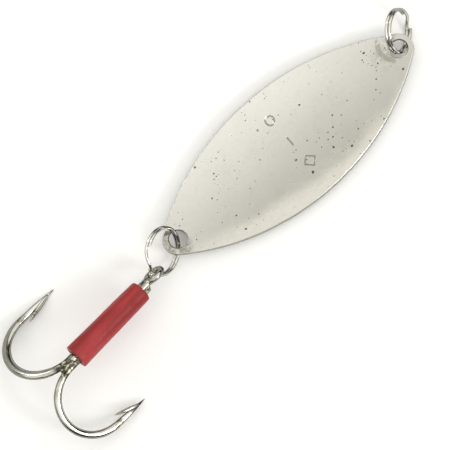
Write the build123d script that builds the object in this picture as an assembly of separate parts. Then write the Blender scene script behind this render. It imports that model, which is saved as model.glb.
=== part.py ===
"""Spoon lure: dished metal blade, two split rings, a brazed two-point hook and a red shank sleeve.

The lure lies on its belly with the dished face up. +X runs along the blade to the line end,
+Z is up, and the origin is on the floor under the middle of the whole lure. Millimetres.
"""

import os
from math import atan2, cos, pi, radians, sin, sqrt

from build123d import *

# The blade: a vesica with rounded tips, dished both ways, convex side down.
BLADE_LENGTH = 70.0
BLADE_HALF_WIDTH = 13.4
BLADE_THICKNESS = 1.1
TIP_RADIUS = 3.45
END_RISE = 3.0  # how far the tips stand above the belly
SIDE_RISE = 1.75  # how far the long edges stand above the belly
LINE_HOLE_RADIUS = 1.95
HOOK_HOLE_RADIUS = 2.05
LINE_HOLE_SHIFT = 0.15  # the line hole sits a little nearer its tip
RIM_ROUND = 0.18
# The bowl that the blade is trimmed from.
BOWL_MARGIN = 3.0
BOWL_TOP = 30.0
BOWL_SWEEP = 40.0

# Stamped marks on the dished face, on a line across the blade: a ring, a bar and a diamond.
MARK_POSITIONS = ((0.5, 6.8), (0.85, 0.6), (1.3, -5.4))
MARK_SIZE = 2.0
MARK_GROOVE = 0.3
MARK_DEPTH = 0.1

# Split rings: two flat turns of flattened wire joined by a step.
HOOK_RING_RADIUS = 5.12
HOOK_RING_PITCH = 0.74
HOOK_RING_WIRE = 0.68
LINE_RING_RADIUS = 4.63
LINE_RING_PITCH = 0.80
LINE_RING_WIRE = 0.72
HOOK_RING_STEP = 50.0  # the arc over which the wire steps from one turn to the next
LINE_RING_STEP = 35.0
RING_END_GAP = 5.0  # the arc between a wire end and the step
RING_CORNER_SHARE = 0.42  # corner radius of the wire section, as a share of its width
RAIL_STEPS = 12

# Where the rings rest: centre, the direction of zero angle, and the axis through the turns.
HOOK_RING_CENTRE = (-35.764, -0.231, 6.0)
HOOK_RING_ZERO = (0.8281, 0.5606, 0.0)
HOOK_RING_AXIS = (0.478, -0.706, 0.5225)
HOOK_RING_PHASE = 98.0
LINE_RING_CENTRE = (33.92, 2.78, 4.66)
LINE_RING_ZERO = (0.7593, 0.6508, 0.0)
LINE_RING_AXIS = (0.5664, -0.6608, 0.4924)
LINE_RING_PHASE = 299.0

# The hook: local X runs down the shank from eye to bend, local Z is the clipped side.
SHANK_ORIGIN = (-64.074, -6.041, 10.52)
SHANK_DIRECTION = (-0.9756, -0.1138, 0.1878)
WIRE = 1.4
WIRE_GAP = 0.06
EYE_RADIUS = 1.92
EYE_SHOULDER = 1.5
EYE_TOP = -26.75
LEFT_ROLL = 210.0
RIGHT_ROLL = 330.0
CLIPPED_ROLL = 90.0
LEFT_BEND_RADIUS = 8.6
LEFT_BEND_START = 1.3
LEFT_POINT_LENGTH = 10.0
LEFT_POINT_SLANT = -1.5
LEFT_BARB_BACK = 8.8  # from the point back to the barb's tip
RIGHT_BEND_RADIUS = 8.25
RIGHT_BEND_START = 2.6
RIGHT_POINT_LENGTH = 8.0
RIGHT_POINT_SLANT = 3.2
RIGHT_BARB_BACK = 7.4
POINT_TAPER = 7.0
POINT_TIP_RADIUS = 0.07
BARB_FRONT = 1.2  # from the point back to where the barb starts to leave the wire
BARB_CUT = 2.2  # from the barb's tip forward to the notch under it
BARB_RISE = 1.75
BARB_THICKNESS = 0.5
STUB_BEND_START = 2.0
STUB_BEND_RADIUS = 8.8
STUB_ARC = 16.0
SIDE_WIRE_TOP = -21.6
BRAZE_RADIUS = 1.22
BRAZE_TOP = -22.2
BRAZE_BOTTOM = 2.4

# The sleeve on the shank.
SLEEVE_LENGTH = 19.9
SLEEVE_TOP_RADIUS = 2.45
SLEEVE_BOTTOM_RADIUS = 2.74
SLEEVE_CLEARANCE = 0.06
SLEEVE_EDGE_ROUND = 0.25

# Moves the row's origin under the middle of the lure.
ORIGIN_SHIFT = (19.30, 4.60, 0.0)

RISE_RADIUS = ((BLADE_LENGTH / 2) ** 2 + END_RISE**2) / (2 * END_RISE)
DISH_RADIUS = (BLADE_HALF_WIDTH**2 + SIDE_RISE**2) / (2 * SIDE_RISE)
TIP_CENTRE = BLADE_LENGTH / 2 - TIP_RADIUS
SIDE_RADIUS = (TIP_CENTRE**2 + BLADE_HALF_WIDTH**2 - TIP_RADIUS**2) / (
    2 * (BLADE_HALF_WIDTH - TIP_RADIUS)
)
WIRE_OFFSET = (WIRE + WIRE_GAP) / sqrt(3)


def belly_height(x, y):
    """Height of the convex face above the floor."""
    dish = DISH_RADIUS - sqrt(DISH_RADIUS**2 - y**2)
    return RISE_RADIUS - sqrt((RISE_RADIUS - dish) ** 2 - x**2)


def belly_normal(x, y):
    """Unit normal of the convex face, pointing up into the metal."""
    step = 1e-3
    slope_x = (belly_height(x + step, y) - belly_height(x - step, y)) / (2 * step)
    slope_y = (belly_height(x, y + step) - belly_height(x, y - step)) / (2 * step)
    return Vector(-slope_x, -slope_y, 1).normalized()


def blade_outline():
    """The plan outline: two long side arcs that run tangent into two tip arcs."""
    spread = atan2(TIP_CENTRE, SIDE_RADIUS - BLADE_HALF_WIDTH)
    side_y = BLADE_HALF_WIDTH - SIDE_RADIUS
    join_x = SIDE_RADIUS * sin(spread)
    join_y = side_y + SIDE_RADIUS * cos(spread)
    half = BLADE_LENGTH / 2
    edges = [
        ThreePointArc((-join_x, join_y), (0, BLADE_HALF_WIDTH), (join_x, join_y)),
        ThreePointArc((join_x, join_y), (half, 0), (join_x, -join_y)),
        ThreePointArc((join_x, -join_y), (0, -BLADE_HALF_WIDTH), (-join_x, -join_y)),
        ThreePointArc((-join_x, -join_y), (-half, 0), (-join_x, join_y)),
    ]
    return make_face(Curve() + edges)


def make_blade():
    """A sheet of even thickness on a belly that curves both ways, with a hole through each tip."""
    reach = BLADE_HALF_WIDTH + BOWL_MARGIN
    reach_z = DISH_RADIUS - sqrt(DISH_RADIUS**2 - reach**2)
    top = BOWL_TOP
    section = Plane.YZ * make_face(
        Curve()
        + [
            ThreePointArc((-reach, reach_z), (0, 0), (reach, reach_z)),
            Line((reach, reach_z), (reach, top)),
            Line((reach, top), (-reach, top)),
            Line((-reach, top), (-reach, reach_z)),
        ]
    )
    axis = Axis((0, 0, RISE_RADIUS), (0, 1, 0))
    bowl = revolve(section, axis, BOWL_SWEEP).rotate(axis, -BOWL_SWEEP / 2)
    trimmed = bowl & extrude(blade_outline(), top)
    belly = trimmed.faces().filter_by(GeomType.TORUS)[0]
    blade = thicken(belly, BLADE_THICKNESS)
    if blade.bounding_box().min.Z < -BLADE_THICKNESS / 2:
        blade = thicken(belly, -BLADE_THICKNESS)
    rims = blade.edges().filter_by(lambda edge: edge.length > 2 * BLADE_THICKNESS)
    blade = fillet(rims, RIM_ROUND)
    for x, radius in ((-TIP_CENTRE, HOOK_HOLE_RADIUS), (TIP_CENTRE + LINE_HOLE_SHIFT, LINE_HOLE_RADIUS)):
        seat = Plane((x, 0, belly_height(x, 0)), z_dir=belly_normal(x, 0))
        blade -= seat * Cylinder(radius, 6 * BLADE_THICKNESS)
    return blade


def mark_tools():
    """Shallow tools that press the three marks into the dished face."""
    wide = MARK_SIZE + MARK_GROOVE
    narrow = MARK_SIZE - MARK_GROOVE
    mark_shapes = (
        Circle(wide / 2) - Circle(narrow / 2),
        Rectangle(MARK_GROOVE, wide),
        Rot(0, 0, 45) * (Rectangle(wide, wide) - Rectangle(narrow, narrow)),
    )
    tools = []
    for number, (x, y) in enumerate(MARK_POSITIONS):
        normal = belly_normal(x, y)
        point = Vector(x, y, belly_height(x, y)) + normal * BLADE_THICKNESS
        seat = Plane(point, x_dir=Vector(1, 0, 0), z_dir=normal)
        shape = mark_shapes[number]
        tools.append(seat * Pos(0, 0, -MARK_DEPTH) * extrude(shape, 2 * MARK_DEPTH))
    return tools


def ring_section(wire):
    """Drawn wire section, nearly round, with slightly flattened sides."""
    return RectangleRounded(wire, wire, RING_CORNER_SHARE * wire)


def turn(radius, wire, height, start, stop):
    """One flat arc of ring wire at a height along the ring's axis."""
    section = Plane.XZ * Pos(radius, height) * ring_section(wire)
    return revolve(section, Axis.Z, stop - start).rotate(Axis.Z, start)


def make_split_ring(radius, pitch, wire, step_angle, place):
    """Two flat turns side by side. The wire steps across from one to the other over a short arc."""
    free = step_angle + RING_END_GAP
    lower = turn(radius, wire, -pitch / 2, free, 360)
    upper = turn(radius, wire, pitch / 2, step_angle, 360 - RING_END_GAP)
    rail = []
    for i in range(RAIL_STEPS + 1):
        share = i / RAIL_STEPS
        angle = radians(share * step_angle)
        height = pitch * (share * share * (3 - 2 * share) - 0.5)
        rail.append((radius * cos(angle), radius * sin(angle), height))
    step_end = radians(step_angle)
    path = Spline(rail, tangents=[(0, 1, 0), (-sin(step_end), cos(step_end), 0)])
    section = Plane.XZ * Pos(radius, -pitch / 2) * ring_section(wire)
    step = sweep(section, path, binormal=Line((0, 0, -1), (0, 0, 1)).edge())
    return place * (lower + step + upper)


def ring_place(centre, zero, axis, phase):
    """Where a ring rests: its centre and axis, with the step starting at the phase angle."""
    return Plane(centre, x_dir=zero, z_dir=axis).location * Rot(0, 0, phase)


def arm_path(bend_start, bend_radius, point_length, slant, leg_start):
    """Plan of one hook arm: shank leg, round bend and the straight run up to the taper."""
    sweep_angle = 180 - slant
    middle = WIRE_OFFSET + bend_radius
    turn_end = radians(-90 + sweep_angle)
    turn_half = radians(-90 + sweep_angle / 2)
    end = (bend_start + bend_radius * cos(turn_end), middle + bend_radius * sin(turn_end))
    half = (bend_start + bend_radius * cos(turn_half), middle + bend_radius * sin(turn_half))
    heading = (-cos(radians(slant)), sin(radians(slant)))
    straight = max(point_length - POINT_TAPER, 0.3)
    stop = (end[0] + heading[0] * straight, end[1] + heading[1] * straight)
    edges = [
        Line((leg_start, WIRE_OFFSET), (bend_start, WIRE_OFFSET)),
        ThreePointArc((bend_start, WIRE_OFFSET), half, end),
        Line(end, stop),
    ]
    return edges, stop, heading


def arm_point(stop, heading, barb_back):
    """The tapered point with its barb on the inner side, from the end of the straight run."""
    place = Plane(stop, x_dir=(-heading[1], heading[0], 0), z_dir=(heading[0], heading[1], 0))
    cone = loft([place * Circle(WIRE / 2), place.offset(POINT_TAPER) * Circle(POINT_TIP_RADIUS)])
    tip = (stop[0] + heading[0] * POINT_TAPER, stop[1] + heading[1] * POINT_TAPER)
    inward = (-heading[1], heading[0])

    def at(back, rise):
        return (tip[0] - heading[0] * back + inward[0] * rise, tip[1] - heading[1] * back + inward[1] * rise)

    notch = at(barb_back - BARB_CUT, WIRE / 4)
    outline = make_face(Polyline(at(BARB_FRONT, 0), at(barb_back, BARB_RISE), notch, close=True))
    return cone + extrude(outline, BARB_THICKNESS / 2, both=True)


def swept(edges, start, direction):
    """Round wire swept along joined edges."""
    path = Wire(edges)
    section = Plane(start, z_dir=direction) * Circle(WIRE / 2)
    return sweep(section, path)


def eye_plan():
    """Edges of the eye in its own plane, from the left hook's leg over the top to the clipped leg."""
    centre = EYE_TOP + WIRE / 2 + EYE_RADIUS
    half = (WIRE + WIRE_GAP) / 2
    run = sqrt((EYE_RADIUS + EYE_SHOULDER) ** 2 - (half + EYE_SHOULDER) ** 2)
    lean = atan2(half + EYE_SHOULDER, run)
    mid = (pi / 2 - lean) / 2
    leg = (centre + run, half)
    neck = (centre + run - EYE_SHOULDER * sin(mid), half + EYE_SHOULDER - EYE_SHOULDER * cos(mid))
    touch = (centre + EYE_RADIUS * cos(lean), EYE_RADIUS * sin(lean))

    def mirrored(point):
        return (point[0], -point[1])

    return leg, [
        ThreePointArc(mirrored(leg), mirrored(neck), mirrored(touch)),
        ThreePointArc(mirrored(touch), (centre - EYE_RADIUS, 0), touch),
        ThreePointArc(touch, neck, leg),
    ]


def stub_plan(leg_start):
    """Edges of the clipped leg: straight down the shank, then the start of its bend."""
    angle = radians(STUB_ARC)

    def bend(share):
        along_wire = STUB_BEND_START + STUB_BEND_RADIUS * sin(angle * share)
        outward = WIRE_OFFSET + STUB_BEND_RADIUS * (1 - cos(angle * share))
        return (along_wire, outward)

    return [Line((leg_start, WIRE_OFFSET), bend(0)), ThreePointArc(bend(0), bend(0.5), bend(1))]


def make_main_wire():
    """One wire: left hook, its leg, the eye, and the leg whose own hook is clipped off."""
    leg, eye_edges = eye_plan()
    left_edges, stop, heading = arm_path(
        LEFT_BEND_START, LEFT_BEND_RADIUS, LEFT_POINT_LENGTH, LEFT_POINT_SLANT, leg[0]
    )
    left = swept(left_edges, (leg[0], WIRE_OFFSET, 0), (1, 0, 0))
    left += arm_point(stop, heading, LEFT_BARB_BACK)
    clipped = swept(stub_plan(leg[0]), (leg[0], WIRE_OFFSET, 0), (1, 0, 0))
    # the eye lies in the plane of its two legs, which is off the shank's axis
    eye_side = radians((LEFT_ROLL + CLIPPED_ROLL) / 2)
    eye_roll = (LEFT_ROLL + CLIPPED_ROLL) / 2 - 90
    eye_shift = Pos(0, WIRE_OFFSET / 2 * cos(eye_side), WIRE_OFFSET / 2 * sin(eye_side))
    eye = swept(eye_edges, (leg[0], -leg[1], 0), (-1, 0, 0))
    placed_eye = eye_shift * Rot(eye_roll, 0, 0) * eye
    return Rot(LEFT_ROLL, 0, 0) * left + placed_eye + Rot(CLIPPED_ROLL, 0, 0) * clipped


def make_side_wire():
    """The right hook and its leg, which lies in the groove between the main wire's legs."""
    edges, stop, heading = arm_path(
        RIGHT_BEND_START, RIGHT_BEND_RADIUS, RIGHT_POINT_LENGTH, RIGHT_POINT_SLANT, SIDE_WIRE_TOP
    )
    wire = swept(edges, (SIDE_WIRE_TOP, WIRE_OFFSET, 0), (1, 0, 0))
    return Rot(RIGHT_ROLL, 0, 0) * (wire + arm_point(stop, heading, RIGHT_BARB_BACK))


def make_braze(main, side):
    """Braze that fills the grooves between the three shank wires."""
    length = BRAZE_BOTTOM - BRAZE_TOP
    core = Pos((BRAZE_TOP + BRAZE_BOTTOM) / 2, 0, 0) * Rot(0, 90, 0) * Cylinder(BRAZE_RADIUS, length)
    return core - main - side


def make_sleeve():
    """A straight tube over the shank, a little wider at the bend end."""
    bore = WIRE_OFFSET + WIRE / 2 + SLEEVE_CLEARANCE
    outer = ((-SLEEVE_LENGTH, SLEEVE_TOP_RADIUS), (0, SLEEVE_BOTTOM_RADIUS))
    half_section = make_face(Polyline((-SLEEVE_LENGTH, bore), *outer, (0, bore), close=True))
    corners = half_section.vertices().sort_by(Axis.Y)[2:]
    half_section = fillet(corners, SLEEVE_EDGE_ROUND)
    return revolve(half_section, Axis.X)


def main():
    os.makedirs("parts", exist_ok=True)
    blade = make_blade()
    for tool in mark_tools():
        blade -= tool
    along = Vector(SHANK_DIRECTION).normalized()
    sideways = along.cross(Vector(0, 0, 1))
    shank = Plane(SHANK_ORIGIN, x_dir=along, z_dir=sideways.cross(along))
    main_wire = make_main_wire()
    side_wire = make_side_wire()
    braze = make_braze(main_wire, side_wire)
    sleeve = make_sleeve()
    place = shank.location
    line_place = ring_place(LINE_RING_CENTRE, LINE_RING_ZERO, LINE_RING_AXIS, LINE_RING_PHASE)
    hook_place = ring_place(HOOK_RING_CENTRE, HOOK_RING_ZERO, HOOK_RING_AXIS, HOOK_RING_PHASE)
    nodes = {
        "blade": blade,
        "line_split_ring": make_split_ring(
            LINE_RING_RADIUS, LINE_RING_PITCH, LINE_RING_WIRE, LINE_RING_STEP, line_place
        ),
        "hook_split_ring": make_split_ring(
            HOOK_RING_RADIUS, HOOK_RING_PITCH, HOOK_RING_WIRE, HOOK_RING_STEP, hook_place
        ),
        "hook_main_wire": place * main_wire,
        "hook_side_wire": place * side_wire,
        "hook_braze": place * braze,
        "shank_sleeve": place * sleeve,
    }
    for name, shape in nodes.items():
        moved = Pos(*ORIGIN_SHIFT) * shape
        solids = moved.solids()
        box = moved.bounding_box()
        print(name, len(solids), "solids", round(moved.volume, 2), "mm3", box.min, box.max)
        export_step(moved, f"parts/{name}.step")


main()
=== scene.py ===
from math import atan2, cos, pi, radians, sin, sqrt

import bpy
import numpy as np
from mathutils import Matrix, Vector
from mathutils.geometry import delaunay_2d_cdt


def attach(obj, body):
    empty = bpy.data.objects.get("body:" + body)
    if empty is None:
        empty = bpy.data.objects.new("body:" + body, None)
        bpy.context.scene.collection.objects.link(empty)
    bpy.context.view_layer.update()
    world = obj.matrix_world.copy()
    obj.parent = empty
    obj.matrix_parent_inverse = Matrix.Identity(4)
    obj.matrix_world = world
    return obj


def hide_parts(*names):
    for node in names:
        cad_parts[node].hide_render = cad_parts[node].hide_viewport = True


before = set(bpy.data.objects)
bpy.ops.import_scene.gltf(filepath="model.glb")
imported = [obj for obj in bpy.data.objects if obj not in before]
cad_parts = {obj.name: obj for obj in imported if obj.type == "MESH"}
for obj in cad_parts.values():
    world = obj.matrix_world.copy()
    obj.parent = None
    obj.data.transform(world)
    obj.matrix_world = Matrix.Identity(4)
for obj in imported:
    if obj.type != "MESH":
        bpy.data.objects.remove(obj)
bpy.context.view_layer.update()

# Lengths below are millimetres in the lure's own frame, and are written to meshes in metres.
MM = 0.001
SHIFT = np.array((19.30, 4.60, 0.0))
RNG = np.random.default_rng(7)

# blade
BLADE_LENGTH, HALF_WIDTH, THICK = 70.0, 13.4, 1.1
TIP_RADIUS, END_RISE, SIDE_RISE = 3.45, 3.0, 1.75
TIP_CENTRE = BLADE_LENGTH / 2 - TIP_RADIUS
RISE_RADIUS = ((BLADE_LENGTH / 2) ** 2 + END_RISE**2) / (2 * END_RISE)
DISH_RADIUS = (HALF_WIDTH**2 + SIDE_RISE**2) / (2 * SIDE_RISE)
SIDE_RADIUS = (TIP_CENTRE**2 + HALF_WIDTH**2 - TIP_RADIUS**2) / (2 * (HALF_WIDTH - TIP_RADIUS))
HOLES = ((-TIP_CENTRE, 2.05), (TIP_CENTRE + 0.15, 1.95))
MARKS = ((0.5, 6.8), (0.85, 0.6), (1.3, -5.4))
MARK_SIZE = 2.0

TOP_ROUND, LOW_ROUND = 0.20, 0.13
RIM_MARGIN = max(TOP_ROUND, LOW_ROUND) + 0.02
HOLE_MARGIN = 0.16
# nicks along the rim: share of the way round, depth, and half length as a share of the way round
NICKS = ((0.31, 0.10, 0.006), (0.62, 0.07, 0.004), (0.83, 0.09, 0.005), (0.93, 0.05, 0.004))

# split rings: zero is the direction where angles start, and phase turns the free ends round from it
LINE_RING = dict(radius=4.63, pitch=0.80, step_angle=35.0, centre=(33.92, 2.78, 4.66),
                 zero=(0.7593, 0.6508, 0.0), axis=(0.5664, -0.6608, 0.4924), phase=299.0)
HOOK_RING = dict(radius=5.12, pitch=0.74, step_angle=50.0, centre=(-35.764, -0.231, 6.0),
                 zero=(0.8281, 0.5606, 0.0), axis=(0.478, -0.706, 0.5225), phase=98.0)
LINE_RING_WIRE, HOOK_RING_WIRE = 0.72, 0.68

# hook: H runs along the shank toward the bend, and E1 and E2 run across it
WIRE = 1.4
WIRE_PITCH = WIRE + 0.06
WIRE_OFFSET = WIRE_PITCH / sqrt(3)
SHANK_ORIGIN = np.array((-64.074, -6.041, 10.52))
H = np.array((-0.9756, -0.1138, 0.1878))
H = H / np.linalg.norm(H)
E1 = np.cross((0, 0, 1), H)
E1 = E1 / np.linalg.norm(E1)
E2 = np.cross(H, E1)
EYE_RADIUS, EYE_SHOULDER, EYE_TOP = 1.92, 1.5, -26.75
FORGED_POWER = 0.3
STUB_STRAIGHT, STUB_BEND, STUB_TURN = 2.0, 8.8, 16

# braze and sleeve, as lengths along the shank and radii round it
BRAZE_START, BRAZE_END = -22.4, 2.9
SLEEVE_START, SLEEVE_BORE = -19.9, 1.62


def unit(v):
    return np.asarray(v, float) / np.linalg.norm(v)


def roll_dir(angle):
    """Direction across the shank at a roll angle in degrees."""
    return E1 * cos(radians(angle)) + E2 * sin(radians(angle))


def smooth(edge0, edge1, x):
    """Zero up to edge0, rising smoothly to one at edge1."""
    t = np.clip((np.asarray(x, float) - edge0) / (edge1 - edge0), 0, 1)
    return t * t * (3 - 2 * t)


# ---------------------------------------------------------------- meshes


def add_mesh(name, verts, faces, uvs, normals=None):
    """A smooth mesh object from millimetre points. uvs is one pair per face corner."""
    pts = np.asarray(verts, float) + SHIFT
    if volume(pts, faces) < 0:
        start, turned = 0, []
        for f in faces:
            turned += uvs[start:start + len(f)][::-1]
            start += len(f)
        uvs = turned
        faces = [tuple(f)[::-1] for f in faces]
    mesh = bpy.data.meshes.new(name)
    mesh.from_pydata((pts * MM).tolist(), [], [tuple(int(i) for i in f) for f in faces])
    mesh.polygons.foreach_set("use_smooth", [True] * len(mesh.polygons))
    layer = mesh.uv_layers.new(name="UVMap")
    layer.data.foreach_set("uv", np.asarray(uvs, np.float32).ravel())
    mesh.update()
    if normals is not None:
        mesh.normals_split_custom_set_from_vertices([tuple(n) for n in normals])
    obj = bpy.data.objects.new(name, mesh)
    bpy.context.scene.collection.objects.link(obj)
    return obj


def volume(pts, faces):
    """Signed volume, positive when the faces look outward."""
    total = 0.0
    for f in faces:
        a = pts[f[0]]
        for k in range(1, len(f) - 1):
            total += float(np.dot(a, np.cross(pts[f[k]], pts[f[k + 1]])))
    return total / 6


def resample(path, step, *extras):
    """Even spacing along a path. Extra per-point arrays are carried along."""
    path = np.asarray(path, float)
    seg = np.linalg.norm(np.diff(path, axis=0), axis=1)
    s = np.concatenate([[0], np.cumsum(seg)])
    n = max(4, int(s[-1] / step))
    t = np.linspace(0, s[-1], n + 1)
    out = [np.stack([np.interp(t, s, path[:, k]) for k in range(3)], 1)]
    for e in extras:
        e = np.asarray(e, float)
        if e.ndim == 1:
            out.append(np.interp(t, s, e))
        else:
            out.append(np.stack([np.interp(t, s, e[:, k]) for k in range(e.shape[1])], 1))
    return t, *out


def sweep(path, side, half_u, half_b, power=2.0, segs=24, round_start=0.12, round_end=0.12):
    """Sweeps a superellipse along path. side is the section's second axis.

    Returns vertices, faces and a uv pair per face corner: length along the path and share of the way round.
    """
    n = len(path)
    last = n - 1
    tangent = np.gradient(path, axis=0)
    tangent /= np.linalg.norm(tangent, axis=1)[:, None]
    side = side - (side * tangent).sum(1)[:, None] * tangent
    side /= np.linalg.norm(side, axis=1)[:, None]
    across = np.cross(side, tangent)
    s = np.concatenate([[0], np.cumsum(np.linalg.norm(np.diff(path, axis=0), axis=1))])
    # section rows: path point, factor on the section, shift along the path. Both ends are rounded over.
    rows = []
    for k, shift in ((0.0, 0.0), (0.35, 0.03), (0.7, 0.07)):
        rows.append((0, 1 - round_start * (1 - sqrt(1 - (1 - k) ** 2)) - round_start * (1 - k) * 0.6, shift))
    rows += [(i, 1.0, 0.0) for i in range(1, last)]
    for k, shift in ((0.7, -0.07), (0.35, -0.03), (0.0, 0.0)):
        rows.append((last, 1 - round_end * (1 - k) * 0.9, shift))
    power = np.broadcast_to(power, (n,))
    ang = np.linspace(0, 2 * pi, segs, endpoint=False)
    verts, svals = [], []
    for i, factor, shift in rows:
        e = 2.0 / power[i]
        cu = np.sign(np.cos(ang)) * np.abs(np.cos(ang)) ** e
        cb = np.sign(np.sin(ang)) * np.abs(np.sin(ang)) ** e
        section = half_u[i] * cu[:, None] * across[i] + half_b[i] * cb[:, None] * side[i]
        verts.append(path[i] + tangent[i] * shift + factor * section)
        svals.append(s[i])
    rings = len(verts)
    verts = np.concatenate(verts)
    faces, uvs = quads(svals, segs)
    # end caps as fans round a centre point
    for ring, i, flip in ((0, 0, True), (rings - 1, last, False)):
        centre = verts[ring * segs:(ring + 1) * segs].mean(0)
        verts = np.vstack([verts, centre])
        c = len(verts) - 1
        for k in range(segs):
            k2 = (k + 1) % segs
            tri = (ring * segs + k, ring * segs + k2, c)
            faces.append(tri[::-1] if flip else tri)
            uvs += [(s[i], 0.0)] * 3
    return verts, faces, uvs


def quads(lengths, count, closed=False):
    """Faces between rows of count points each, with corner uvs. closed joins the last row to the first."""
    faces, uvs = [], []
    rows = len(lengths)
    for i in range(rows if closed else rows - 1):
        j = (i + 1) % rows
        for k in range(count):
            k2 = (k + 1) % count
            faces.append((i * count + k, i * count + k2, j * count + k2, j * count + k))
            v0, v1 = k / count, (k + 1) / count
            uvs += [(lengths[i], v0), (lengths[i], v1), (lengths[j], v1), (lengths[j], v0)]
    return faces, uvs


def join(parts):
    """Several (verts, faces, uvs) in one."""
    verts, faces, uvs, base = [], [], [], 0
    for v, f, u in parts:
        verts.append(v)
        faces += [tuple(i + base for i in face) for face in f]
        uvs += u
        base += len(v)
    return np.concatenate(verts), faces, uvs


# ---------------------------------------------------------------- blade


def belly(x, y):
    """Height of the blade's lower face."""
    dish = DISH_RADIUS - np.sqrt(DISH_RADIUS**2 - y**2)
    return RISE_RADIUS - np.sqrt((RISE_RADIUS - dish) ** 2 - x**2)


def belly_normal(x, y):
    d = 1e-3
    gx = (belly(x + d, y) - belly(x - d, y)) / (2 * d)
    gy = (belly(x, y + d) - belly(x, y - d)) / (2 * d)
    n = np.stack([-gx, -gy, np.ones_like(gx)], -1)
    return n / np.linalg.norm(n, axis=-1, keepdims=True)


def outline():
    """Points and outward normals round the blade's edge, anticlockwise."""
    spread = atan2(TIP_CENTRE, SIDE_RADIUS - HALF_WIDTH)
    beta = pi / 2 - spread
    pts, nrm = [], []

    def arc(centre, radius, a0, a1, count):
        for k in range(count):
            a = a0 + (a1 - a0) * k / count
            pts.append((centre[0] + radius * cos(a), centre[1] + radius * sin(a)))
            nrm.append((cos(a), sin(a)))

    low = HALF_WIDTH - SIDE_RADIUS
    arc((TIP_CENTRE, 0), TIP_RADIUS, -beta, beta, 44)
    arc((0, low), SIDE_RADIUS, beta, pi - beta, 170)
    arc((-TIP_CENTRE, 0), TIP_RADIUS, pi - beta, pi + beta, 44)
    arc((0, -low), SIDE_RADIUS, pi + beta, 2 * pi - beta, 170)
    return np.array(pts), np.array(nrm)


def edge_distance(x, y):
    """How far inside the outline a point is."""
    spread = atan2(TIP_CENTRE, SIDE_RADIUS - HALF_WIDTH)
    join_x = SIDE_RADIUS * sin(spread)
    side = SIDE_RADIUS - np.hypot(x, np.abs(y) + SIDE_RADIUS - HALF_WIDTH)
    tip = TIP_RADIUS - np.hypot(np.abs(x) - TIP_CENTRE, y)
    return np.where(np.abs(x) > join_x - 0.2, np.where(np.abs(x) > TIP_CENTRE, tip, side), side)


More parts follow.
